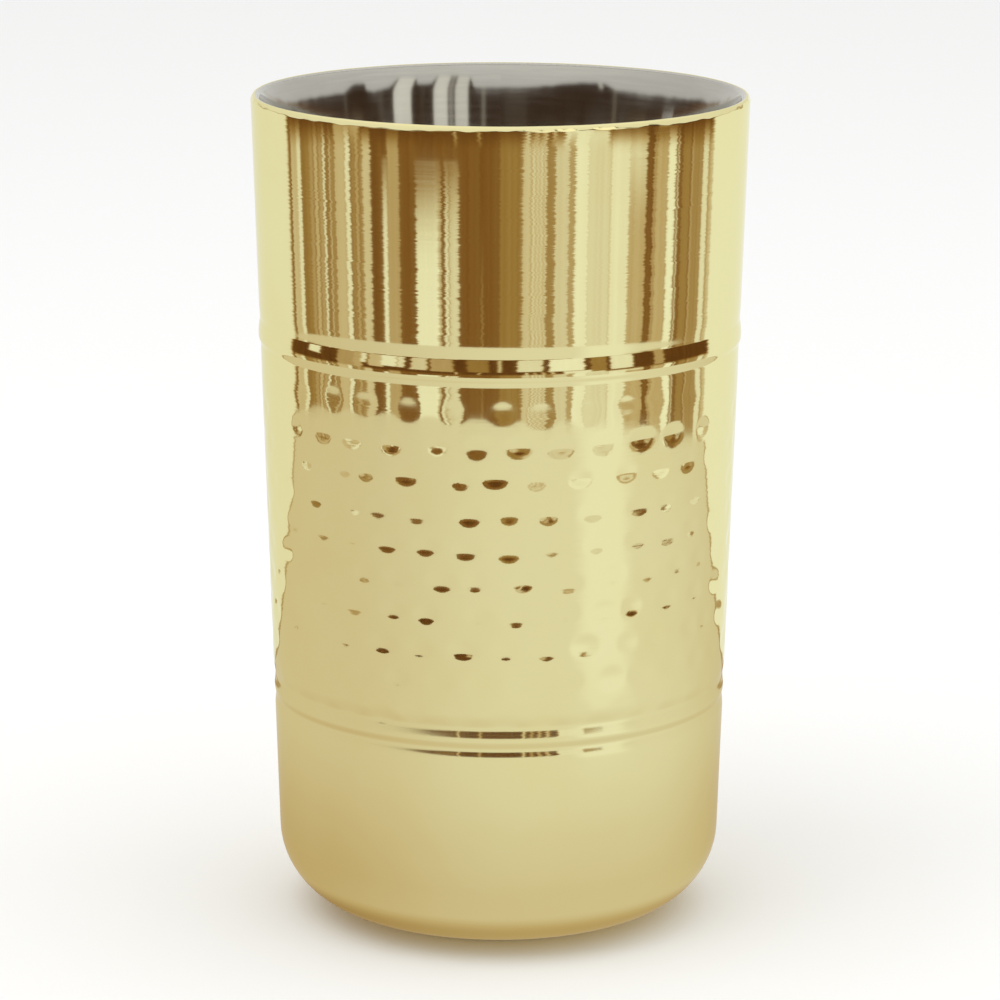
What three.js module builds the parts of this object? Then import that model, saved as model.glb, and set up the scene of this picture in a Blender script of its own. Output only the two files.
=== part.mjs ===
// Free-standing double-wall bottle cooler: a tapered, beaded outer shell with a rounded foot, a drawn liner
// that hangs from the mouth, and a pressed base plate. Millimetres, +Z up. The origin is the middle of the
// footprint, on the surface that the cooler stands on. Every piece is a solid of revolution about Z.

import * as THREE from 'three';

// Whole object
const HEIGHT = 200;
const SHEET = 0.6; // thickness of every pressed sheet piece
const GAP = 0.3; // clearance between neighbouring solids
const ROUND_STEPS = 60; // facets around the axis

// Outer shell: one straight taper from the mouth to the rounded foot
const MOUTH_RADIUS = 59.3;
const FOOT_RADIUS = 53.2; // where the taper would meet the plane of the foot
const SHELL_FOOT_Z = 1.5;
const CORNER_RADIUS = 19.2;
const FOOT_OPENING_RADIUS = 31;
const TAPER = Math.atan((MOUTH_RADIUS - FOOT_RADIUS) / (HEIGHT - SHELL_FOOT_Z));

// Lip: the top edge of the shell leans inwards, then rounds over to the weld
const LIP_LEAN = THREE.MathUtils.degToRad(18);
const LIP_LEAN_HEIGHT = 0.8;
const LIP_EDGE_RADIUS = 0.7;

// Rolled rings: one raised bead above the hammered band and a pair of shallow grooves below it. Each has its
// peak at height z and fades out over its own distance above and below.
const BEAD = { z: 143.2, above: 4, below: 2.6, rise: 0.6, steps: 3 };
const GROOVES = [
  { z: 58.7, above: 4.1, below: 3.1, rise: -0.34, steps: 2 },
  { z: 53.6, above: 2, below: 3.6, rise: -0.3, steps: 2 },
];

// Rim weld: the polished seam on the crown
const WELD_RADIUS = 0.35;
const WELD_RING_RADIUS = 57.65;
const WELD_DROP = 0.1; // how far its top is below the lip
const WELD_STEPS = 8;

// Inner liner: flared mouth, a short cone, then a nearly straight cup
const LINER_RIM = { radius: 57.08, z: 199.15 };
const FLARE_RADIUS = 26;
const FLARE_START = THREE.MathUtils.degToRad(32); // lean of the wall from the vertical at the rim
const CONE_LEAN = THREE.MathUtils.degToRad(4.2);
const CUP_LEAN = THREE.MathUtils.degToRad(0.6);
const CONE_END_Z = 150;
const CUP_FLOOR_Z = 8;
const CUP_CORNER_RADIUS = 10;
const PANEL_RADIUS = 28; // raised stiffening panel in the liner's floor
const PANEL_RISE = 0.8;

// Base plate: pressed disc with a raised middle and a hole for the vent plug
const PLATE_EDGE_RADIUS = FOOT_OPENING_RADIUS - 1.4;
const PLATE_FLANGE_RADIUS = 26;
const PLATE_PANEL_RADIUS = 23.5;
const PLATE_RISE = 2.2;
const VENT_HOLE_RADIUS = 3;

// Vent plug: head, stem through the hole, and a barb that is wider than the hole
const PLUG = { headRadius: 4.6, headHeight: 0.9, barbRadius: 3.5, barbHeight: 1.2, tipRadius: 1.8 };

// Foot pad: non-slip ring that the cooler stands on
const PAD = { innerRadius: 24, outerRadius: 32.5, chamfer: 0.3 };

// Facets along each curve of a section
const CORNER_STEPS = 6;
const LIP_STEPS = 3;
const FLARE_STEPS = 4;
const CUP_CORNER_STEPS = 4;

const gold = new THREE.MeshStandardMaterial({ color: 0xd8c784, roughness: 0.12, metalness: 1 });
const satinSteel = new THREE.MeshStandardMaterial({ color: 0xb4b0a4, roughness: 0.32, metalness: 1 });
const polishedSteel = new THREE.MeshStandardMaterial({ color: 0xc2beb2, roughness: 0.2, metalness: 1 });
const pressedSteel = new THREE.MeshStandardMaterial({ color: 0xaaa79d, roughness: 0.4, metalness: 1 });
const weldSteel = new THREE.MeshStandardMaterial({ color: 0x9a978e, roughness: 0.45, metalness: 1 });
const silicone = new THREE.MeshStandardMaterial({ color: 0x8a8a86, roughness: 0.75, metalness: 0 });
const padRubber = new THREE.MeshStandardMaterial({ color: 0x26262a, roughness: 0.85, metalness: 0 });

// Points [radius, height] along an arc about a centre, angles in radians from the outward horizontal
function arc(centreRadius, centreZ, radius, from, to, steps) {
  const points = [];
  for (let i = 0; i <= steps; i += 1) {
    const angle = from + ((to - from) * i) / steps;
    points.push([centreRadius + radius * Math.cos(angle), centreZ + radius * Math.sin(angle)]);
  }
  return points;
}

// The hidden side of a sheet: every point of its visible face moved one thickness into the material,
// which lies on the left of the path
function backOf(face) {
  return face.map(([radius, z], i) => {
    const before = face[Math.max(i - 1, 0)];
    const after = face[Math.min(i + 1, face.length - 1)];
    const run = after[0] - before[0];
    const climb = after[1] - before[1];
    const length = Math.hypot(run, climb);
    return [radius - (SHEET * climb) / length, z + (SHEET * run) / length];
  });
}

// Closed outline of a sheet ring, and of a sheet cup whose face ends on the axis
const sheetRing = (face) => [...face, ...backOf(face).reverse(), face[0]];
const sheetCup = (face) => [...backOf(face).reverse(), ...face];

function turned(name, outline, material) {
  const points = outline.map(([radius, z]) => new THREE.Vector2(radius, z));
  const geometry = new THREE.LatheGeometry(points, ROUND_STEPS);
  geometry.rotateX(Math.PI / 2);
  const mesh = new THREE.Mesh(geometry, material);
  mesh.name = name;
  return mesh;
}

// Radius of the shell's outside on the tapered wall, with its rolled rings
function wallRadius(z) {
  let radius = FOOT_RADIUS + (z - SHELL_FOOT_Z) * Math.tan(TAPER);
  for (const ring of [BEAD, ...GROOVES]) {
    const along = (z - ring.z) / (z > ring.z ? ring.above : ring.below);
    if (Math.abs(along) < 1) {
      radius += ring.rise * 0.5 * (1 + Math.cos(Math.PI * along));
    }
  }
  return radius;
}

function ringStations(ring) {
  const stations = [];
  for (let i = -ring.steps; i <= ring.steps; i += 1) {
    stations.push(ring.z + ((i < 0 ? ring.below : ring.above) * i) / ring.steps);
  }
  return stations;
}

function outerShell() {
  const cornerZ = SHELL_FOOT_Z + CORNER_RADIUS;
  const cornerCentre = FOOT_RADIUS - (CORNER_RADIUS * (1 - Math.sin(TAPER))) / Math.cos(TAPER);
  const edgeZ = HEIGHT - LIP_EDGE_RADIUS;
  const lipStartZ = edgeZ + LIP_EDGE_RADIUS * Math.sin(LIP_LEAN) - LIP_LEAN_HEIGHT;
  const edgeStart = wallRadius(lipStartZ) - LIP_LEAN_HEIGHT * Math.tan(LIP_LEAN);
  const edgeCentre = edgeStart - LIP_EDGE_RADIUS * Math.cos(LIP_LEAN);
  const stations = [...ringStations(GROOVES[1]), ...ringStations(GROOVES[0]).slice(1), ...ringStations(BEAD)];
  const face = [
    [FOOT_OPENING_RADIUS, SHELL_FOOT_Z],
    ...arc(cornerCentre, cornerZ, CORNER_RADIUS, -Math.PI / 2, -TAPER, CORNER_STEPS),
    ...stations.map((z) => [wallRadius(z), z]),
    [wallRadius(lipStartZ), lipStartZ],
    ...arc(edgeCentre, edgeZ, LIP_EDGE_RADIUS, LIP_LEAN, Math.PI / 2, LIP_STEPS),
  ];
  return turned('outer_shell', sheetRing(face), gold);
}

function innerLiner() {
  const flareCentre = LINER_RIM.radius + FLARE_RADIUS * Math.cos(FLARE_START);
  const flareZ = LINER_RIM.z - FLARE_RADIUS * Math.sin(FLARE_START);
  const flare = arc(flareCentre, flareZ, FLARE_RADIUS, Math.PI - FLARE_START, Math.PI - CONE_LEAN, FLARE_STEPS);
  const [flareEndRadius, flareEndZ] = flare[flare.length - 1];
  const coneEndRadius = flareEndRadius - (flareEndZ - CONE_END_Z) * Math.tan(CONE_LEAN);
  const cornerZ = CUP_FLOOR_Z + CUP_CORNER_RADIUS;
  const cornerCentre = coneEndRadius - (CONE_END_Z - cornerZ) * Math.tan(CUP_LEAN) - CUP_CORNER_RADIUS;
  const face = [
    ...flare,
    [coneEndRadius, CONE_END_Z],
    ...arc(cornerCentre, cornerZ, CUP_CORNER_RADIUS, 0, -Math.PI / 2, CUP_CORNER_STEPS),
    [PANEL_RADIUS, CUP_FLOOR_Z],
    [PANEL_RADIUS - 2 * PANEL_RISE, CUP_FLOOR_Z + PANEL_RISE],
    [0, CUP_FLOOR_Z + PANEL_RISE],
  ];
  return turned('inner_liner', sheetCup(face), satinSteel);
}

function rimWeld() {
  const middleZ = HEIGHT - WELD_DROP - WELD_RADIUS;
  const seam = arc(WELD_RING_RADIUS, middleZ, WELD_RADIUS, -Math.PI / 2, 1.5 * Math.PI, WELD_STEPS);
  return turned('rim_weld', seam, polishedSteel);
}

function basePlate() {
  const face = [
    [VENT_HOLE_RADIUS, SHELL_FOOT_Z + PLATE_RISE],
    [PLATE_PANEL_RADIUS, SHELL_FOOT_Z + PLATE_RISE],
    [PLATE_FLANGE_RADIUS, SHELL_FOOT_Z],
    [PLATE_EDGE_RADIUS, SHELL_FOOT_Z],
  ];
  return turned('base_plate', sheetRing(face), pressedSteel);
}

function baseWeld() {
  const inner = PLATE_EDGE_RADIUS + GAP;
  const outer = FOOT_OPENING_RADIUS - GAP;
  const outline = [
    [inner, SHELL_FOOT_Z],
    [outer, SHELL_FOOT_Z],
    [outer, SHELL_FOOT_Z + SHEET],
    [(inner + outer) / 2, SHELL_FOOT_Z + 1.4 * SHEET],
    [inner, SHELL_FOOT_Z + SHEET],
    [inner, SHELL_FOOT_Z],
  ];
  return turned('base_weld', outline, weldSteel);
}

function ventPlug() {
  const plateUnder = SHELL_FOOT_Z + PLATE_RISE;
  const headTop = plateUnder - GAP;
  const barbFoot = plateUnder + SHEET + GAP;
  const stemRadius = VENT_HOLE_RADIUS - GAP;
  const outline = [
    [0, headTop - PLUG.headHeight],
    [PLUG.headRadius - 0.5, headTop - PLUG.headHeight],
    [PLUG.headRadius, headTop - 0.5 * PLUG.headHeight],
    [PLUG.headRadius, headTop],
    [stemRadius, headTop],
    [stemRadius, barbFoot],
    [PLUG.barbRadius, barbFoot],
    [PLUG.tipRadius, barbFoot + PLUG.barbHeight],
    [0, barbFoot + PLUG.barbHeight],
  ];
  return turned('vent_plug', outline, silicone);
}

function footPad() {
  const top = SHELL_FOOT_Z - GAP;
  const outline = [
    [PAD.innerRadius + PAD.chamfer, 0],
    [PAD.outerRadius - PAD.chamfer, 0],
    [PAD.outerRadius, PAD.chamfer],
    [PAD.outerRadius, top],
    [PAD.innerRadius, top],
    [PAD.innerRadius, PAD.chamfer],
    [PAD.innerRadius + PAD.chamfer, 0],
  ];
  return turned('foot_pad', outline, padRubber);
}

const cooler = new THREE.Group();
cooler.add(outerShell(), innerLiner(), rimWeld(), basePlate(), baseWeld(), ventPlug(), footPad());

export default cooler;
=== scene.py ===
"""Double-wall bottle cooler with a hammered band: visual model, stage, light and camera. Metres, +Z up."""
import math
import random

import bpy
import numpy as np
from mathutils import Euler, Matrix


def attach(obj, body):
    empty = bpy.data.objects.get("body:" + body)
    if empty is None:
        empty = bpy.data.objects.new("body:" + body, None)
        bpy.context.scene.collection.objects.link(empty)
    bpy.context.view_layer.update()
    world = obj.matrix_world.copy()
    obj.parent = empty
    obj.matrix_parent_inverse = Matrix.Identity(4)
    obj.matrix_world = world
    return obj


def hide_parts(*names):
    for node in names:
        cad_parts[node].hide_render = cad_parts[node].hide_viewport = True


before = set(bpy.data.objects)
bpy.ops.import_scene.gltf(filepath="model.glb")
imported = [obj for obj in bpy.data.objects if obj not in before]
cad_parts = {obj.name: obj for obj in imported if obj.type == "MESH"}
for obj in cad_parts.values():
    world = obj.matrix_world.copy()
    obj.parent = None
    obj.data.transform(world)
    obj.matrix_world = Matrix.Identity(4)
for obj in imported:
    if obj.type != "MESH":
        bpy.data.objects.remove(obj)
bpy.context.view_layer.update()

MM = 0.001
TAU = 2 * math.pi
rng = random.Random(20)

# ---------------------------------------------------------------- sizes, in millimetres
HEIGHT = 200.0
SHEET = 0.6
SHELL_COLUMNS = 440  # of a full turn
LINER_COLUMNS = 360  # the crown has as many
BASE_COLUMNS = 240
PLUG_COLUMNS = 96

# The shell is one straight taper with a rounded foot corner
MOUTH_RADIUS = 59.3
FOOT_RADIUS = 53.2
SHELL_FOOT_Z = 1.5
CORNER_RADIUS = 19.2
FOOT_OPENING_RADIUS = 31.0
TAPER = math.atan((MOUTH_RADIUS - FOOT_RADIUS) / (HEIGHT - SHELL_FOOT_Z))
BACK_INSET = 0.12  # the hidden back of the wall keeps clear of the marks
BACK_HEIGHTS = (60.0, 100.0, 140.0)

# Its lip leans inwards. It is rolled by hand: its lower edge wanders, as (waves per turn, height, phase)
LIP_LEAN = math.radians(24)
LIP_LEAN_HEIGHT = 0.85
LIP_BLEND_RADIUS = 0.5
LIP_EDGE_RADIUS = 0.7
LIP_WAVES = ((5, 0.10, 1.0), (11, 0.08, 2.1), (23, 0.09, 0.7), (47, 0.08, 4.0), (83, 0.05, 2.6))

# Raised bead, as (height, lean of the wall in degrees, positive where it faces up): a slight recess, a sharp
# crease, the steep edge, the rounded crest, the short lower flank, and a recess that fades out below it
BEAD = ((150.0, 0.0), (149.4, -1.6), (148.2, -2.6), (146.6, -2.4), (146.45, 11.3), (145.6, 11.6), (145.0, 10.0),
        (144.2, 7.5), (143.6, 4.5), (142.9, 2.0), (142.3, -0.8), (141.9, -14.0), (141.4, -24.0), (140.9, -13.0),
        (140.5, -3.0), (140.2, -1.0), (139.9, 0.8), (139.0, 1.0), (136.0, 0.9), (133.5, 0.6), (131.6, 0.0))
BEAD_SPAN = (139.4, 150.4)
BEAD_CREASE = 146.5

# Two rolled grooves, in the same way: an upper flank and a straight lower one
GROOVES = ((62.8, 0.0), (61.8, -3.6), (60.4, -7.8), (59.4, -7.8), (58.8, -2.0), (58.5, 5.7), (58.2, 6.95),
           (56.4, 6.95), (56.0, 5.7), (55.6, 0.0), (55.2, -7.5), (54.6, -12.0), (54.1, -10.5), (53.75, -2.0),
           (53.4, 6.5), (53.2, 7.5), (51.9, 7.5), (51.5, 5.6), (50.8, 1.2), (50.0, 0.0))
ROLLED_STEPS = 240  # heights at which the rise of the bead or of the grooves is worked out

# Hammered band: rows of shallow lens-shaped dents. The first row is the softest, and the last is soft too.
ROW_PITCH = 8.05
ROW_TOP_Z = 134.2
ROW_FORCE = (0.33, 0.78, 0.80, 0.90, 0.95, 1.05, 1.18, 1.28, 1.02, 0.6)
ROW_SIZE = (1.0, 0.78, 0.80, 0.90, 0.94, 1.0, 1.0, 1.0, 1.0, 1.0)
DENTS_PER_ROW = 35
DENT_HALF_WIDTH = 4.05
DENT_HALF_HEIGHT = 3.05
DENT_DEPTH = 0.195
DENT_SHAPE = 1.5  # how gently a dent ends at its edge
# How unevenly the hammer fell
ROW_WANDER = 0.4
DENT_WANDER_AROUND = 0.11  # of the pitch
DENT_WANDER_UP = 0.25
FORCE_RANGE = (0.68, 1.25)
WIDTH_RANGE = (0.85, 1.15)
HEIGHT_RANGE = (0.92, 1.08)

# The liner hangs from the mouth. Its turns are its lean in degrees at each height, down to the straight cup.
LINER_RIM = (57.45, 199.55)
LINER_TURNS = ((199.55, 32.0), (196.5, 23.0), (193.8, 15.5), (190.0, 12.5), (186.0, 11.0), (183.0, 9.5), (170.0, 3.0),
               (150.0, 2.6))
FLARE_END_Z = 184.0
CONE_TOP_Z = 183.0
CUP_TOP_Z = 150.0
CUP_LEAN = math.radians(0.6)
CUP_HEIGHTS = (120.0, 80.0, 40.0)
CUP_FLOOR_Z = 8.0
CUP_CORNER_RADIUS = 10.0
PANEL_RADIUS = 28.0  # the raised middle of the cup's floor
PANEL_RISE = 0.8
PANEL_RINGS = (18.0, 8.0, 0.02)

# Turned pieces, as (radius, height) round the outline
RIM_WELD = ((58.75, 199.2), (58.6, 199.6), (58.42, 199.86), (58.2, 199.93), (58.0, 199.9), (57.8, 199.8),
            (57.6, 199.64), (57.45, 199.46), (57.36, 199.26), (57.55, 198.95), (58.3, 198.9))
BASE_PLATE_FACE = ((3.0, 3.7), (8.0, 3.7), (22.6, 3.7), (23.3, 3.6), (23.9, 3.25), (25.5, 1.95), (26.1, 1.6),
                   (26.8, 1.5), (29.6, 1.5))
BASE_WELD = ((29.8, 1.55), (30.2, 1.42), (30.6, 1.45), (30.85, 1.6), (30.8, 2.1), (30.3, 2.35), (29.85, 2.1))
VENT_PLUG = ((0.02, 2.4), (2.6, 2.42), (3.9, 2.52), (4.4, 2.72), (4.6, 3.0), (4.55, 3.36), (2.75, 3.4), (2.7, 3.8),
             (2.7, 4.55), (3.45, 4.6), (3.5, 4.8), (2.7, 5.4), (1.9, 5.78), (1.2, 5.8), (0.02, 5.8))
PAD_INNER = ((24.0, 1.2), (24.0, 0.35), (24.1, 0.12), (24.35, 0.0))
PAD_OUTER = ((32.15, 0.0), (32.4, 0.12), (32.5, 0.35), (32.5, 1.2))
PAD_GROOVES = (26.6, 28.3, 30.0)
PAD_GROOVE = ((-0.35, 0.0), (-0.2, 0.25), (0.2, 0.25), (0.35, 0.0))


# ---------------------------------------------------------------- shapes
def cone_radius(z):
    return FOOT_RADIUS + (z - SHELL_FOOT_Z) * math.tan(TAPER)


def rise_of(leans):
    """Heights and rises of a rolled ring: its leans added up from the bottom, closed on the wall at both ends."""
    z, lean = np.array(leans[::-1]).T
    heights = np.linspace(z[0], z[-1], ROLLED_STEPS)
    slope = -np.tan(np.radians(np.interp(heights, z, lean)))
    rise = np.concatenate([[0], np.cumsum((slope[1:] + slope[:-1]) / 2 * np.diff(heights))])
    return heights, rise - rise[-1] * (heights - z[0]) / (z[-1] - z[0])


RISES = (rise_of(BEAD), rise_of(GROOVES))


def wall_radius(z):
    return cone_radius(z) + sum(float(np.interp(z, heights, rise, left=0.0, right=0.0)) for heights, rise in RISES)


def place_dents():
    """Centre angle, height, half width, half height and depth of every hammer mark."""
    dents = []
    pitch = TAU / DENTS_PER_ROW
    for row, (row_force, row_size) in enumerate(zip(ROW_FORCE, ROW_SIZE)):
        phase = rng.uniform(0, pitch)
        row_z = ROW_TOP_Z - row * ROW_PITCH + rng.uniform(-ROW_WANDER, ROW_WANDER)
        for k in range(DENTS_PER_ROW):
            angle = phase + k * pitch + rng.gauss(0, DENT_WANDER_AROUND) * pitch
            z = row_z + rng.gauss(0, DENT_WANDER_UP)
            force = row_force * rng.uniform(*FORCE_RANGE)
            dents.append((angle, z,
                          DENT_HALF_WIDTH * rng.uniform(*WIDTH_RANGE) * row_size,
                          DENT_HALF_HEIGHT * rng.uniform(*HEIGHT_RANGE) * row_size,
                          DENT_DEPTH * force))
    return dents


def dent_depth(angles, heights, dents):
    """How far the wall is pushed in, on the grid of heights by angles. Where two dents overlap, the wall ends up
    halfway between the deeper one and both together."""
    depth = np.zeros((len(heights), len(angles)))
    for angle, z, half_width, half_height, deep in dents:
        rows = np.nonzero(np.abs(heights - z) < half_height)[0]
        if not len(rows):
            continue
        radius = cone_radius(z)
        turn = (angles - angle + math.pi) % TAU - math.pi
        cols = np.nonzero(np.abs(turn) * radius < half_width)[0]
        across = turn[cols][None, :] * radius / half_width
        up = (heights[rows][:, None] - z) / half_height
        mark = deep * np.clip(1 - across ** 2 - up ** 2, 0, None) ** DENT_SHAPE
        block = np.ix_(rows, cols)
        depth[block] = np.maximum(depth[block], mark) * 0.5 + 0.5 * (depth[block] + mark)
    return depth


def add_object(name, data):
    obj = bpy.data.objects.new(name, data)
    bpy.context.scene.collection.objects.link(obj)
    return obj


def surface(name, rings):
    """A closed mesh from rings of points, an array of rows by columns by xyz in millimetres."""
    rows, cols, _ = rings.shape
    lower = np.arange(rows * cols).reshape(rows, cols)
    upper = np.roll(lower, -1, axis=0)
    faces = np.stack([lower, np.roll(lower, -1, axis=1), np.roll(upper, -1, axis=1), upper], axis=-1)
    mesh = bpy.data.meshes.new(name)
    mesh.from_pydata((rings.reshape(-1, 3) * MM).tolist(), [], faces.reshape(-1, 4).tolist())
    mesh.validate()
    mesh.shade_smooth()
    return add_object(name, mesh)


def revolve(profile, cols):
    """Rings of a turned shape from (radius, z) pairs."""
    angles = np.arange(cols) * TAU / cols
    profile = np.asarray(profile, float)
    out = np.empty((len(profile), cols, 3))
    out[..., 0] = profile[:, :1] * np.sin(angles)
    out[..., 1] = -profile[:, :1] * np.cos(angles)
    out[..., 2] = profile[:, 1:]
    return out


def turned(name, outline, cols):
    return surface(name, revolve(outline, cols))


def arc(centre_r, centre_z, radius, start, end, steps):
    return [(centre_r + radius * math.cos(a), centre_z + radius * math.sin(a))
            for a in np.linspace(start, end, steps + 1)]


def offset_back(face, distance):
    """The face moved to the left of its direction by distance."""
    p = np.asarray(face, float)
    d = np.gradient(p, axis=0)
    d /= np.linalg.norm(d, axis=1)[:, None]
    return np.stack([p[:, 0] - distance * d[:, 1], p[:, 1] + distance * d[:, 0]], axis=1)


def sheet_ring(face):
    """The outline of a sheet, one side of which is the face."""
    return np.concatenate([np.asarray(face, float), offset_back(face, SHEET)[::-1]])


# ---------------------------------------------------------------- node trees
class Nodes:
    """Short calls for building a node tree."""

    def __init__(self, tree):
        self.tree = tree
        tree.nodes.clear()

    def new(self, kind, **settings):
        node = self.tree.nodes.new(kind)
        for key, value in settings.items():
            setattr(node, key, value)
        return node

    def put(self, socket, value):
        if isinstance(value, bpy.types.NodeSocket):
            self.tree.links.new(value, socket)
        else:
            socket.default_value = value

    def math(self, operation, a, b=0.0):
        node = self.new("ShaderNodeMath", operation=operation)
        self.put(node.inputs[0], a)
        self.put(node.inputs[1], b)
        return node.outputs[0]

    def window(self, value, start, end, low=0.0, high=1.0):
        """Smooth step from low to high as value goes from start to end."""
        node = self.new("ShaderNodeMapRange", interpolation_type="SMOOTHSTEP", clamp=True)
        for name, v in (("Value", value), ("From Min", start), ("From Max", end), ("To Min", low), ("To Max", high)):
            self.put(node.inputs[name], v)
        return node.outputs[0]

    def aside(self, value, middle):
        """Distance of value from middle."""
        return self.math("ABSOLUTE", self.math("SUBTRACT", value, middle))

    def mix(self, factor, a, b):
        node = self.new("ShaderNodeMix", data_type="FLOAT")
        self.put(node.inputs["Factor"], factor)
        self.put(node.inputs["A"], a)
        self.put(node.inputs["B"], b)
        return node.outputs["Result"]

    def mix_colour(self, factor, a, b):
        node = self.new("ShaderNodeMix", data_type="RGBA")
        for index, value in ((0, factor), (6, a), (7, b)):
            self.put(node.inputs[index], (*value, 1) if isinstance(value, tuple) else value)
        return node.outputs[2]

    def noise(self, vector, scale, detail, roughness):
        node = self.new("ShaderNodeTexNoise")
        self.put(node.inputs["Vector"], vector)
        node.inputs["Scale"].default_value = scale
        node.inputs["Detail"].default_value = detail
        node.inputs["Roughness"].default_value = roughness
        return node.outputs["Fac"]

    def streaks(self, along, across, scales, detail, roughness):
        """Noise that is drawn out along one direction."""
        spot = self.combine(self.math("MULTIPLY", along, scales[0]), 0.0, self.math("MULTIPLY", across, scales[1]))
        return self.noise(spot, 1.0, detail, roughness)

    def combine(self, x, y, z):
        node = self.new("ShaderNodeCombineXYZ")
        for socket, value in zip(node.inputs, (x, y, z)):
            self.put(socket, value)
        return node.outputs[0]

    def separate(self, vector):
        node = self.new("ShaderNodeSeparateXYZ")
        self.put(node.inputs[0], vector)
        return node.outputs

    def vector(self, operation, a, b=(0, 0, 0), scale=None):
        node = self.new("ShaderNodeVectorMath", operation=operation)
        self.put(node.inputs[0], a)
        self.put(node.inputs[1], b)
        if scale is not None:
            self.put(node.inputs["Scale"], scale)
        return node.outputs[0]

    def ramp(self, factor, stops):
        node = self.new("ShaderNodeValToRGB")
        elements = node.color_ramp.elements
        while len(elements) > 1:
            elements.remove(elements[-1])
        elements[0].position = stops[0][0]
        elements[0].color = (*stops[0][1], 1)
        for position, colour in stops[1:]:
            elements.new(position).color = (*colour, 1)
        self.put(node.inputs[0], factor)
        return node.outputs[0]

    def bump(self, height, strength, distance):
        node = self.new("ShaderNodeBump")
        node.inputs["Strength"].default_value = strength
        node.inputs["Distance"].default_value = distance
        self.put(node.inputs["Height"], height)
        return node.outputs[0]

    def position(self):
        return self.new("ShaderNodeTexCoord").outputs["Object"]

    def turn(self, x, y):
        """Angle round the upright axis from the front, positive to the right, in radians."""
        return self.math("ARCTAN2", x, self.math("MULTIPLY", y, -1.0))

    def close(self, emitter_kind, colour, output_kind):
        """The last two nodes of a tree that only gives off light."""
        emitter = self.new(emitter_kind)
        self.put(emitter.inputs["Color"], colour)
        self.put(self.new(output_kind).inputs["Surface"], emitter.outputs[0])


def material(name):
    made = bpy.data.materials.new(name)
    made.use_nodes = True
    nodes = Nodes(made.node_tree)
    shader = nodes.new("ShaderNodeBsdfPrincipled")
    output = nodes.new("ShaderNodeOutputMaterial")
    nodes.put(output.inputs["Surface"], shader.outputs[0])
    return made, nodes, shader


def coat(nodes, shader, colour, roughness, normal, metallic=1.0):
    for name, value in (("Base Color", colour), ("Metallic", metallic), ("Roughness", roughness), ("Normal", normal)):
        nodes.put(shader.inputs[name], value)


# ---------------------------------------------------------------- materials
# Colours are linear. Lines, ripple and grain are noise per radian of turn (or metre of x) and per metre across.
GOLD = (0.87, 0.80, 0.44)
GOLD_WARM = (0.86, 0.78, 0.41)
GOLD_EDGE = (0.95, 0.93, 0.78)
GOLD_ROUGHNESS = (0.045, 0.075)
GOLD_LINES = (2.2, 2100.0)
GOLD_LINE_LEAN = 0.050  # how far the polishing lines lean the surface
SATIN = (0.47, 0.455, 0.41)
SATIN_PALE = (0.51, 0.495, 0.445)
SATIN_DULL = (0.44, 0.425, 0.38)
SATIN_ROUGHNESS = (0.095, 0.120)
SATIN_LINES = (3.0, 900.0)
POLISHED = (0.56, 0.545, 0.49)
POLISHED_DARK = (0.50, 0.485, 0.435)
POLISHED_ROUGHNESS = (0.12, 0.24)
POLISHED_RIPPLE = (60.0, 400.0)
PRESSED = (0.62, 0.61, 0.575)
PRESSED_DARK = (0.50, 0.49, 0.46)
PRESSED_STAIN = (0.44, 0.42, 0.38)
PRESSED_ROUGHNESS = (0.30, 0.44)
PRESSED_GRAIN = (60.0, 2400.0)
WELD_TINTS = ((0.30, (0.46, 0.40, 0.30)), (0.5, (0.40, 0.36, 0.33)), (0.62, (0.30, 0.28, 0.33)),
              (0.75, (0.45, 0.41, 0.33)))
WELD_ROUGHNESS = (0.30, 0.50)
WELD_SCALLOPS = 150.0  # ripples in a full turn
SILICONE = (0.24, 0.24, 0.235)
SILICONE_DUST = (0.33, 0.325, 0.31)
SILICONE_ROUGHNESS = (0.55, 0.70)
RUBBER = (0.018, 0.018, 0.020)
RUBBER_DUST = (0.040, 0.039, 0.040)
RUBBER_ROUGHNESS = (0.68, 0.85)


def gold_material():
    made, n, shader = material("gold_plate")
    where = n.position()
    x, y, z = n.separate(where)
    # broad, faint changes of tone in the plating
    cloud = n.noise(where, 28.0, 3.0, 0.55)
    colour = n.mix_colour(n.window(cloud, 0.35, 0.7), GOLD, GOLD_WARM)
    # fine polishing lines that run round the wall, each of which leans the surface a little to one side
    lines = n.streaks(n.turn(x, y), z, GOLD_LINES, 3.0, 0.75)
    flat = n.new("ShaderNodeNewGeometry").outputs["Normal"]
    side = n.vector("NORMALIZE", n.combine(n.math("MULTIPLY", y, -1.0), x, 0.0))
    lean = n.math("MULTIPLY", n.math("SUBTRACT", lines, 0.5), GOLD_LINE_LEAN)
    leaned = n.vector("NORMALIZE", n.vector("ADD", flat, n.vector("SCALE", side, scale=lean)))
    coat(n, shader, colour, n.window(lines, 0.2, 0.85, *GOLD_ROUGHNESS), leaned)
    shader.inputs["Specular Tint"].default_value = (*GOLD_EDGE, 1)
    return made


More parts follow.
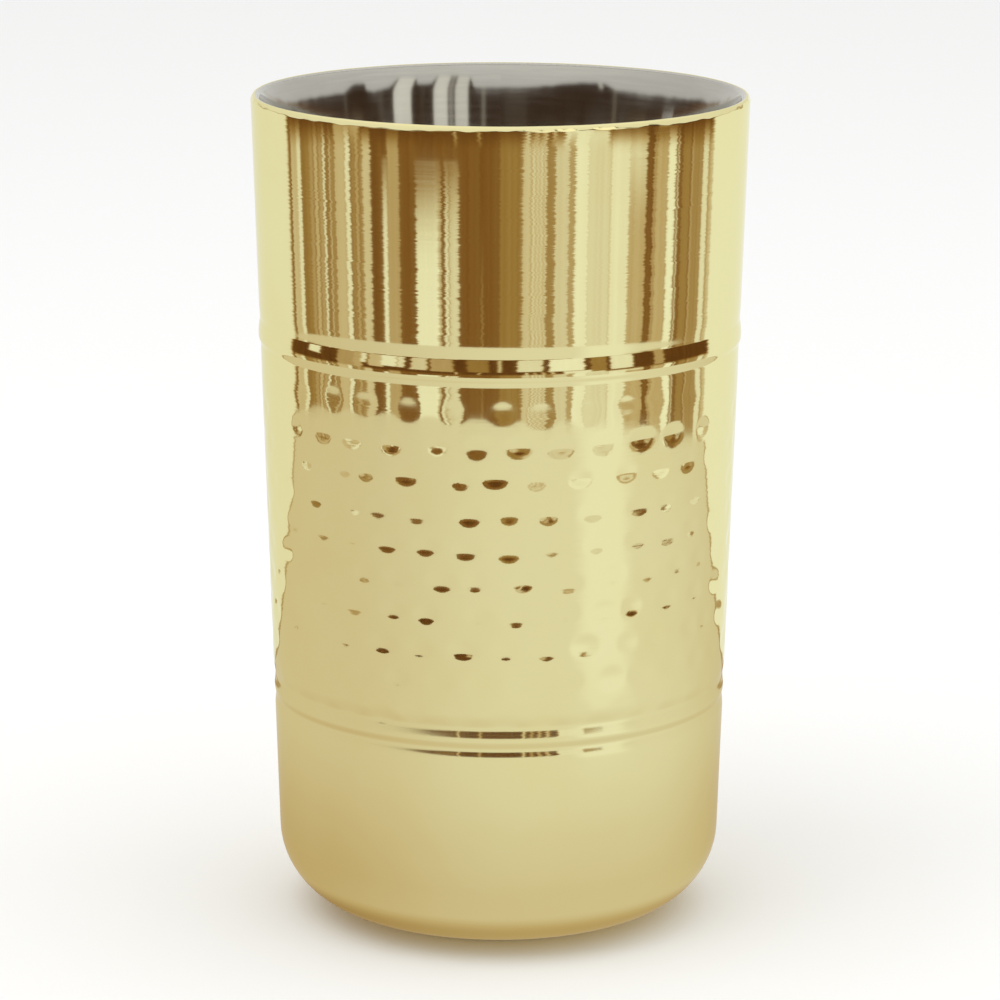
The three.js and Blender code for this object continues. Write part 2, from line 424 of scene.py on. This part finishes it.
def satin_material():
    made, n, shader = material("satin_steel")
    where = n.position()
    x, y, z = n.separate(where)
    brushed = n.streaks(n.turn(x, y), z, SATIN_LINES, 4.0, 0.65)
    cloud = n.noise(where, 35.0, 3.0, 0.6)
    tone = n.mix_colour(n.window(brushed, 0.3, 0.7), SATIN, SATIN_PALE)
    tone = n.mix_colour(n.window(cloud, 0.4, 0.75, 0.0, 0.35), tone, SATIN_DULL)
    coat(n, shader, tone, n.window(brushed, 0.2, 0.8, *SATIN_ROUGHNESS), n.bump(brushed, 0.04, 0.00002))
    # the brushing draws the sheen out
    shader.inputs["Anisotropic"].default_value = 0.85
    shader.inputs["Anisotropic Rotation"].default_value = 0.25
    tangent = n.new("ShaderNodeTangent", direction_type="RADIAL", axis="Z")
    n.put(shader.inputs["Tangent"], tangent.outputs[0])
    return made


def polished_rim_material():
    made, n, shader = material("polished_steel")
    x, y, z = n.separate(n.position())
    ripple = n.streaks(n.turn(x, y), z, POLISHED_RIPPLE, 3.0, 0.6)
    colour = n.mix_colour(n.window(ripple, 0.3, 0.75), POLISHED, POLISHED_DARK)
    coat(n, shader, colour, n.window(ripple, 0.2, 0.8, *POLISHED_ROUGHNESS), n.bump(ripple, 0.2, 0.00004))
    return made


def pressed_steel_material():
    made, n, shader = material("pressed_steel")
    where = n.position()
    x, y, _ = n.separate(where)
    spot = n.combine(n.math("MULTIPLY", x, PRESSED_GRAIN[0]), n.math("MULTIPLY", y, PRESSED_GRAIN[1]), 0.0)
    grain = n.noise(spot, 1.0, 4.0, 0.7)
    stain = n.noise(where, 60.0, 4.0, 0.6)
    colour = n.mix_colour(grain, PRESSED_DARK, PRESSED)
    colour = n.mix_colour(n.window(stain, 0.45, 0.75, 0.0, 0.5), colour, PRESSED_STAIN)
    coat(n, shader, colour, n.window(grain, 0.2, 0.8, *PRESSED_ROUGHNESS), n.bump(grain, 0.25, 0.00005))
    return made


def weld_material():
    made, n, shader = material("heat_tinted_weld")
    where = n.position()
    x, y, _ = n.separate(where)
    scallop = n.math("SINE", n.math("MULTIPLY", n.turn(x, y), WELD_SCALLOPS))
    tint = n.noise(where, 180.0, 3.0, 0.6)
    coat(n, shader, n.ramp(tint, WELD_TINTS), n.window(tint, 0.3, 0.7, *WELD_ROUGHNESS), n.bump(scallop, 0.5, 0.00006))
    return made


def silicone_material():
    made, n, shader = material("plug_silicone")
    where = n.position()
    grain = n.noise(where, 2600.0, 2.0, 0.6)
    dust = n.noise(where, 300.0, 4.0, 0.6)
    colour = n.mix_colour(n.window(dust, 0.4, 0.7, 0.0, 0.7), SILICONE, SILICONE_DUST)
    coat(n, shader, colour, n.window(dust, 0.3, 0.7, *SILICONE_ROUGHNESS), n.bump(grain, 0.25, 0.00004), metallic=0.0)
    shader.inputs["Sheen Weight"].default_value = 0.15
    return made


def rubber_material():
    made, n, shader = material("pad_rubber")
    where = n.position()
    grain = n.noise(where, 1800.0, 3.0, 0.65)
    dust = n.noise(where, 140.0, 4.0, 0.6)
    colour = n.mix_colour(n.window(dust, 0.42, 0.72), RUBBER, RUBBER_DUST)
    coat(n, shader, colour, n.window(grain, 0.3, 0.7, *RUBBER_ROUGHNESS), n.bump(grain, 0.45, 0.00008), metallic=0.0)
    shader.inputs["Sheen Weight"].default_value = 0.2
    return made


# ---------------------------------------------------------------- pieces
def lip_blend():
    """The short curve where the wall starts to lean inwards."""
    edge_z = HEIGHT - LIP_EDGE_RADIUS + LIP_EDGE_RADIUS * math.sin(LIP_LEAN)
    start_z = edge_z - LIP_LEAN_HEIGHT - LIP_BLEND_RADIUS * math.sin(TAPER)
    centre_r = wall_radius(start_z) - LIP_BLEND_RADIUS * math.cos(TAPER)
    centre_z = start_z + LIP_BLEND_RADIUS * math.sin(TAPER)
    return arc(centre_r, centre_z, LIP_BLEND_RADIUS, -TAPER, LIP_LEAN, 4)


def lip_edge():
    """The rounded top edge, up to where it lies flat."""
    blend_r, blend_z = lip_blend()[-1]
    edge_z = HEIGHT - LIP_EDGE_RADIUS
    start_z = edge_z + LIP_EDGE_RADIUS * math.sin(LIP_LEAN)
    start_r = blend_r - (start_z - blend_z) * math.tan(LIP_LEAN)
    return arc(start_r - LIP_EDGE_RADIUS * math.cos(LIP_LEAN), edge_z, LIP_EDGE_RADIUS, LIP_LEAN, math.pi / 2, 7)


def shell_stations():
    """Heights of the wall's rings of points, close together where the wall has detail."""
    corner_top = SHELL_FOOT_Z + CORNER_RADIUS - CORNER_RADIUS * math.sin(TAPER)
    lip_start = lip_blend()[0][1]
    stops = (corner_top, GROOVES[-1][0], GROOVES[0][0], BEAD_SPAN[0], BEAD_CREASE - 0.5, BEAD_CREASE + 0.15,
             BEAD_SPAN[1], lip_start)
    counts = (8, 34, 90, 26, 9, 7, 8)
    spans = [np.linspace(low, high, count)[1:] for low, high, count in zip(stops, stops[1:], counts)]
    return np.concatenate(spans)[:-1]


def outer_shell():
    corner = (FOOT_RADIUS - CORNER_RADIUS * (1 - math.sin(TAPER)) / math.cos(TAPER), SHELL_FOOT_Z + CORNER_RADIUS,
              CORNER_RADIUS, -math.pi / 2, -TAPER)
    sole = [(FOOT_OPENING_RADIUS, SHELL_FOOT_Z), (FOOT_OPENING_RADIUS + SHEET, SHELL_FOOT_Z)]
    foot = sole + arc(*corner, 16)
    stations = shell_stations()
    blend, edge = lip_blend(), lip_edge()
    rings = revolve(foot + [(wall_radius(z), z) for z in stations] + blend + edge, SHELL_COLUMNS)
    angles = np.arange(SHELL_COLUMNS) * TAU / SHELL_COLUMNS
    # the hammer marks push the wall towards the axis
    lip = len(foot) + len(stations)
    wall = rings[len(foot):lip]
    radius = np.hypot(wall[..., 0], wall[..., 1])
    wall[..., :2] *= ((radius - dent_depth(angles, stations, place_dents())) / radius)[..., None]
    # the lip's lower edge goes up and down, and its top in and out to match
    wander = sum(height * np.sin(waves * angles + phase) for waves, height, phase in LIP_WAVES)
    rings[lip:lip + len(blend), :, 2] += wander
    rings[lip + len(blend):, :, :2] *= (1 + wander * math.tan(LIP_LEAN) / MOUTH_RADIUS)[:, None]
    # the hidden back is a coarser copy of the wall, without marks
    back = sole + arc(*corner, 6) + [(cone_radius(z) - BACK_INSET, z) for z in BACK_HEIGHTS] + blend[::4] + edge[::7]
    back = offset_back(back, SHEET)[::-1]
    return surface("outer_shell_hammered", np.concatenate([rings, revolve(back, SHELL_COLUMNS)]))


def inner_liner():
    """From the mouth down: the wall leans less and less, then runs straight to the rounded bottom corner."""
    rim_radius, rim_z = LINER_RIM
    heights = np.concatenate([np.linspace(rim_z, FLARE_END_Z, 40), np.linspace(CONE_TOP_Z, CUP_TOP_Z, 12)])
    turns = np.array(LINER_TURNS)[::-1]
    leans = np.radians(np.interp(heights, turns[:, 0], turns[:, 1]))
    radius = [rim_radius]
    for i in range(1, len(heights)):
        lean = 0.5 * (leans[i] + leans[i - 1])
        radius.append(radius[-1] - (heights[i - 1] - heights[i]) * math.tan(lean))
    face = list(zip(radius, heights))
    corner_z = CUP_FLOOR_Z + CUP_CORNER_RADIUS
    corner_r = radius[-1] - (CUP_TOP_Z - corner_z) * math.tan(CUP_LEAN) - CUP_CORNER_RADIUS
    face += [(radius[-1] - (CUP_TOP_Z - z) * math.tan(CUP_LEAN), z) for z in CUP_HEIGHTS]
    face += arc(corner_r, corner_z, CUP_CORNER_RADIUS, 0, -math.pi / 2, 10)
    face += [(PANEL_RADIUS + 0.4, CUP_FLOOR_Z), (PANEL_RADIUS, CUP_FLOOR_Z + 0.05)]
    face += [(PANEL_RADIUS - 1.5, CUP_FLOOR_Z + PANEL_RISE - 0.05), (PANEL_RADIUS - 2.0, CUP_FLOOR_Z + PANEL_RISE)]
    face += [(r, CUP_FLOOR_Z + PANEL_RISE) for r in PANEL_RINGS]
    return turned("inner_liner_satin", sheet_ring(face), LINER_COLUMNS)


def rim_weld():
    """The crown: a polished seam that runs from the gold lip over to the liner's face."""
    return turned("rim_weld_crown", RIM_WELD, LINER_COLUMNS)


def base_plate():
    return turned("base_plate_pressed", sheet_ring(BASE_PLATE_FACE), BASE_COLUMNS)


def base_weld():
    return turned("base_weld_seam", BASE_WELD, BASE_COLUMNS)


def vent_plug():
    return turned("vent_plug_silicone", VENT_PLUG, PLUG_COLUMNS)


def foot_pad():
    grooves = [(centre + r, z) for centre in PAD_GROOVES for r, z in PAD_GROOVE]
    return turned("foot_pad_ring", (*PAD_INNER, *grooves, *PAD_OUTER), BASE_COLUMNS)


pieces = (
    (outer_shell, gold_material(), "gold_finish", "outer_shell"),
    (inner_liner, satin_material(), "satin_liner", "inner_liner"),
    (rim_weld, polished_rim_material(), "polished_rim", "rim_weld"),
    (base_plate, pressed_steel_material(), "pressed_base", "base_plate"),
    (base_weld, weld_material(), "base_seam", "base_weld"),
    (vent_plug, silicone_material(), "plug_silicone", "vent_plug"),
    (foot_pad, rubber_material(), "pad_rubber", "foot_pad"),
)
for build, made, slot_name, node in pieces:
    obj = build()
    obj.data.materials.append(made)
    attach(obj, "root")
    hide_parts(node)

# ---------------------------------------------------------------- stage, in metres
FLOOR_HALF = 6.0
FLOOR_Z = -0.0002
FLOOR_COLOUR = (0.93, 0.93, 0.925)
# The bright table top that only the metal mirrors, glowing with painted light and painted shade instead of being lit
# by a lamp: round, and cut straight at the back
TABLE_RADIUS = 0.548
TABLE_MIDDLE_X = -0.02
TABLE_BACK_Y = 0.212
TABLE_Z = -0.0001
TABLE_SEAM_Y = 0.204
TABLE_SEAM_TONE = 0.42
PAINTED_LIGHT_BEARING = 38.0  # degrees to the right of the front; the table's painted light is brightest here, with painted shade growing away from it
# where the painted beam of light on the table points
PAINTED_BEAM_BEARING = 49.5

# What a tone from 0 to 1 looks like, on the table and low in the room
TONES = (
    (0.0, (0.105, 0.040, 0.012)),
    (0.12, (0.22, 0.103, 0.030)),
    (0.30, (0.35, 0.218, 0.081)),
    (0.55, (0.592, 0.47, 0.32)),
    (0.80, (0.80, 0.79, 0.745)),
    (1.0, (0.97, 1.02, 1.04)),
)


def flat_stage(name, outline):
    """A level stage piece from the points of its outline."""
    mesh = bpy.data.meshes.new(name)
    mesh.from_pydata(outline, [], [tuple(range(len(outline)))])
    obj = add_object(name, mesh)
    return obj


square = ((-FLOOR_HALF, -FLOOR_HALF), (FLOOR_HALF, -FLOOR_HALF), (FLOOR_HALF, FLOOR_HALF), (-FLOOR_HALF, FLOOR_HALF))
floor = flat_stage("pale_floor", [(px, py, FLOOR_Z) for px, py in square])
floor_mat, _, shader = material("pale_floor")
shader.inputs["Base Color"].default_value = (*FLOOR_COLOUR, 1)
shader.inputs["Roughness"].default_value = 0.8
shader.inputs["Specular IOR Level"].default_value = 0.1
floor.data.materials.append(floor_mat)
floor.visible_glossy = False

rim = [(TABLE_MIDDLE_X + TABLE_RADIUS * math.sin(a), -TABLE_RADIUS * math.cos(a)) for a in np.linspace(0, TAU, 181)]
table = flat_stage("glowing_table_painted_shade", [(px, min(py, TABLE_BACK_Y), TABLE_Z) for px, py in rim[:-1]])
for flag in ("camera", "diffuse", "transmission", "volume_scatter", "shadow"):
    setattr(table, "visible_" + flag, False)

table_mat = bpy.data.materials.new("glowing_table_painted_shade")
table_mat.use_nodes = True
table_mat.cycles.emission_sampling = "NONE"
n = Nodes(table_mat.node_tree)
x, y, _ = n.separate(n.position())
distance = n.math("SQRT", n.math("ADD", n.math("MULTIPLY", x, x), n.math("MULTIPLY", y, y)))
bearing = n.math("DEGREES", n.turn(x, y))
# painted light and shade: darker at the foot, where the object's painted contact shadow falls, and at the sides, with
# a painted beam of light far out to the right and a darker seam along the back
# painted contact shadow round the foot, fading out to about 0.2 m
tone = n.window(distance, 0.044, 0.055, 0.50, 0.70)
tone = n.math("ADD", tone, n.window(distance, 0.075, 0.20, 0.0, 0.13))
# painted shade at the sides, away from the painted light
tone = n.math("SUBTRACT", tone, n.window(n.aside(bearing, PAINTED_LIGHT_BEARING), 15.0, 120.0, 0.0, 0.14))
beam = n.math("MULTIPLY", n.window(n.aside(bearing, PAINTED_BEAM_BEARING), 18.0, 6.0),
              n.window(distance, 0.15, 0.30, 0.0, 0.11))
tone = n.math("ADD", tone, beam)
tone = n.mix(n.window(n.aside(y, TABLE_SEAM_Y), 0.006, 0.003), tone, TABLE_SEAM_TONE)
# the table glows with these painted tones; no lamp lights it
n.close("ShaderNodeEmission", n.ramp(tone, TONES), "ShaderNodeOutputMaterial")
table.data.materials.append(table_mat)

# ---------------------------------------------------------------- world: what surrounds the table, in degrees
# Upright things in the room, as azimuth of the middle from the camera's side (positive to the right), half width
# and tone, then the elevations of foot and top for those that do not reach from the floor to the ceiling.
UPRIGHTS = (
    (-110.6, 2.4, 0.62),
    (-106.6, 1.6, 0.86),
    (-102, 3.0, 0.28),
    (-97.6, 1.4, 0.44),
    (-94.4, 1.2, 0.56),
    (-91.4, 1.2, 0.44),
    (-89, 0.8, 0.88),
    (-86.8, 0.6, 0.30),
    (-85.3, 0.5, 0.66),
    (-83.6, 0.9, 0.34),
    (-79.3, 3.0, 0.60),
    (-74.7, 1.4, 0.90),
    (-71.6, 1.0, 0.34),
    (-69.4, 0.9, 0.50),
    (-67.4, 0.8, 0.36),
    (-64.2, 2.2, 0.66),
    (-54.6, 1.2, 0.92, None, -11.8),
    (-50.2, 2.9, 0.48),
    (-33.8, 5.4, 0.96, None, -12.3),
    (-24.6, 0.8, 0.92, None, -12.2),
    (-27.8, 0.5, 0.70, None, -12.1),
    (-21.2, 2.2, 0.78, None, -12.2),
    (-8.3, 0.3, 0.45, None, -13.4),
    (5.0, 5.2, 0.30),
    (12.2, 2.0, 0.66),
    (17.9, 3.7, 0.50),
    (15.2, 0.5, 0.80),
    (17.0, 0.5, 0.78),
    (18.8, 0.5, 0.82),
    (20.6, 0.6, 0.72),
    (23.2, 1.7, 0.33),
    (28.6, 3.4, 0.72),
    (33.3, 1.2, 0.46),
    (37.9, 3.3, 0.94),
    (46.6, 5.4, 0.79),
    (57.0, 4.9, 0.92),
    (66.4, 4.6, 0.54, None, -11.9),
    (66.4, 4.6, 0.80, -11.9, None),
    (79.2, 4.1, 0.53),
    (76.3, 0.5, 0.36),
    (86.0, 2.5, 1.0),
    (90.0, 0.4, 0.85),
    (95.5, 2.6, 0.34),
    (99.8, 0.7, 0.50),
    (104, 3.4, 0.38),
    (109.8, 2.3, 0.86),
    (113.8, 1.3, 0.58),
)
# The same higher up, as the bead, the grooves and the marks see it
HIGH_UPRIGHTS = (
    (-97, 4.0, 0.90, -1, None),
    (-77, 5.0, 0.42),
    (-70, 2.5, 0.50),
    (-66.5, 1.6, 0.85, -1, None),
    (-60, 4.0, 0.60, -5, None),
    (-53, 4.0, 0.90, -2, None),
    (-47, 1.8, 0.80, -2, None),
    (-38, 4.0, 0.70, -4, None),
    (-27, 5.5, 0.45, -5, None),
    (-20.2, 0.4, 0.85, None, -4.6),
    (-9.4, 0.35, 0.80, None, -4.6),
    (12.4, 0.6, 0.85, None, -4.6),
    (16.4, 0.7, 0.50, None, -4.6),
    (20.2, 0.8, 0.55, None, -4.6),
    (24.4, 0.9, 0.62, None, -4.6),
    (40.0, 10.5, 0.90, None, -4.6),
    (-10, 5.0, 0.28, -4, None),
    (0, 0.8, 0.70, -4, None),
    (14.0, 6.0, 0.82, -3, None),
    (31.5, 8.5, 0.97, -4, None),
    (47, 4.0, 0.30, -8, None),
    (59, 6.0, 0.90, -7, None),
    (80, 3.0, 0.45, -8, None),
)
# And near the top, as the liner sees it
TOP_UPRIGHTS = (
    (-62.4, 1.2, 0.30),
    (-55.5, 1.4, 0.75, 24, None),
    (-8, 6.0, 0.10),
    (9, 1.2, 0.42),
    (20.7, 3.7, 0.88),
    (26.3, 1.3, 0.55),
    (32.0, 4.0, 0.93),
    (42, 1.5, 0.12),
    (53.3, 5.2, 0.95),
    (66, 1.5, 0.16),
    (88, 1.0, 0.20),
)
UPRIGHT_END_SOFT = 0.6
# The tone between the uprights, and for the lowest room the least tone anywhere
LOW_TONE = 0.13
LOW_TONE_LEAST = 0.09
HIGH_TONE = 0.03
TOP_TONE = 0.03
# The elevations across which one of these three gives way to the next, and brown tones to grey ones
LOW_TO_HIGH = (-10.6, -7.5)
HIGH_TO_TOP = (8.8, 9.8)
BROWN_TO_GREY = (8.5, 10.5)
# A pale backdrop stands behind the object, from these azimuths on and up to these elevations
BACKDROP_SIDES = (113.5, 117.0)
BACKDROP_TOP = (8.0, 4.0)
BACKDROP_TONES = (0.89, 0.95)  # left and right
# Where the dark of the room ends and the bright ceiling begins, as (azimuth, elevation)
SKYLINE = ((-180, 4), (-144, 6), (-123, 11), (-106, 14), (-85, 17), (-64, 22), (-58, 30), (-45, 32), (-33, 29),
           (-16, 25.5), (0, 24.5), (14, 25), (17, 39), (36, 41), (38, 29), (46, 29), (48, 37), (59, 36), (61, 25),
           (70, 20), (75, 22), (78, 28.5), (84, 28), (89, 18.5), (109, 13.6), (121, 10.5), (137, 7), (180, 4))
SKYLINE_SCALE = 60.0  # the elevation of a ramp value of 1
SKYLINE_RAGGED = 5.0
SKYLINE_SOFT = 2.0
# What a tone looks like above the brown part of the room
GREYS = (
    (0.0, (0.050, 0.022, 0.008)),
    (0.35, (0.20, 0.165, 0.12)),
    (0.6, (0.50, 0.48, 0.43)),
    (1.0, (1.25, 1.24, 1.15)),
)
CEILING = (0.86, 1.0)
CEILING_BLUE = 0.98
ROOM_LIGHT = (0.92, 0.92, 0.92)  # what reaches the rough surfaces
BACKGROUND = (0.97, 0.97, 0.97)  # what the camera sees

world = bpy.data.worlds.new("studio")
bpy.context.scene.world = world
world.use_nodes = True
world.cycles.sampling_method = "NONE"
n = Nodes(world.node_tree)
ray = n.new("ShaderNodeTexCoord").outputs["Generated"]
x, y, z = n.separate(ray)
azimuth = n.math("DEGREES", n.turn(x, y))
elevation = n.math("DEGREES", n.math("ARCSINE", z))


def stand(level, uprights, soft):
    """The tone of the room with its uprights in it, whose sides are soft by that many degrees."""
    for upright in uprights:
        middle, half, tone, low, high = (*upright, None, None)[:5]
        inside = n.window(n.aside(azimuth, middle), half + soft, half - soft)
        for end, step in ((low, UPRIGHT_END_SOFT), (high, -UPRIGHT_END_SOFT)):
            if end is not None:
                inside = n.math("MULTIPLY", inside, n.window(elevation, end - step, end + step))
        level = n.mix(inside, level, tone)
    return level


def folds(scale, seed, amount):
    """Upright folds of light and shade, a little different at each height."""
    spot = n.combine(n.math("MULTIPLY", azimuth, scale), n.math("MULTIPLY", elevation, scale * 0.06), seed)
    return n.math("MULTIPLY", n.math("SUBTRACT", n.noise(spot, 1.0, 2.0, 0.6), 0.5), amount)


low_room = stand(LOW_TONE, UPRIGHTS, 0.45)
low_room = n.math("ADD", low_room, n.math("ADD", folds(0.9, 3.0, 0.22), folds(0.16, 8.0, 0.10)))
low_room = n.math("MAXIMUM", low_room, LOW_TONE_LEAST)
high_room = n.math("ADD", stand(HIGH_TONE, HIGH_UPRIGHTS, 0.8), folds(0.4, 5.0, 0.12))
top_room = stand(TOP_TONE, TOP_UPRIGHTS, 0.8)
level = n.mix(n.window(elevation, *LOW_TO_HIGH), low_room, high_room)
level = n.mix(n.window(elevation, *HIGH_TO_TOP), level, top_room)
backdrop = n.math("MULTIPLY", n.window(n.math("ABSOLUTE", azimuth), *BACKDROP_SIDES),
                  n.window(elevation, *BACKDROP_TOP))
level = n.mix(backdrop, level, n.window(azimuth, -20.0, 20.0, *BACKDROP_TONES))
room = n.mix_colour(n.window(elevation, *BROWN_TO_GREY), n.ramp(level, TONES), n.ramp(level, GREYS))
# the bright ceiling starts above a ragged skyline
along = n.math("DIVIDE", n.math("ADD", azimuth, 180.0), 360.0)
skyline = n.ramp(along, [((a + 180) / 360, (e / SKYLINE_SCALE,) * 3) for a, e in SKYLINE])
ragged = n.math("MULTIPLY", n.math("SUBTRACT", n.noise(ray, 9.0, 3.0, 0.6), 0.5), SKYLINE_RAGGED)
skyline = n.math("ADD", n.math("MULTIPLY", skyline, SKYLINE_SCALE), ragged)
over = n.math("SUBTRACT", elevation, skyline)
ceiling = n.window(elevation, 20.0, 60.0, *CEILING)
sky = n.combine(ceiling, ceiling, n.math("MULTIPLY", ceiling, CEILING_BLUE))
room = n.mix_colour(n.window(over, -SKYLINE_SOFT, SKYLINE_SOFT), room, sky)
# only reflections show the room
paths = n.new("ShaderNodeLightPath")
plain = n.mix_colour(paths.outputs["Is Camera Ray"], ROOM_LIGHT, BACKGROUND)
chosen = n.mix_colour(paths.outputs["Is Glossy Ray"], plain, room)
n.close("ShaderNodeBackground", chosen, "ShaderNodeOutputWorld")


def softbox(name, size, place, turn, power):
    data = bpy.data.lights.new(name, "AREA")
    data.shape = "SQUARE"
    data.size = size
    data.energy = power
    obj = add_object(name, data)
    obj.location = place
    obj.rotation_euler = Euler([math.radians(a) for a in turn])
    obj.visible_glossy = False


softbox("softbox_key", 1.2, (-0.7, -0.5, 1.6), (22, -22, 0), 6.0)
softbox("softbox_fill", 1.6, (0.9, -0.3, 1.7), (12, 26, 0), 4.8)

# ---------------------------------------------------------------- camera
CAMERA_PLACE = (0.00014, -0.9861, 0.3295)
CAMERA_PITCH = 13.06  # degrees below the horizon
CAMERA_ROLL = 0.16
CAMERA_SENSOR = 36.0
CAMERA_LENS = 150.2
CAMERA_CLIP = (0.05, 50.0)
camera_data = bpy.data.cameras.new("camera")
camera_data.sensor_width = CAMERA_SENSOR
camera_data.lens = CAMERA_LENS
camera_data.clip_start, camera_data.clip_end = CAMERA_CLIP
camera = add_object("camera", camera_data)
camera.location = CAMERA_PLACE
camera.rotation_euler = (Matrix.Rotation(math.radians(90 - CAMERA_PITCH), 3, "X")
                         @ Matrix.Rotation(math.radians(CAMERA_ROLL), 3, "Z")).to_euler()
bpy.context.scene.camera = camera
bpy.context.scene.view_settings.view_transform = "Standard"
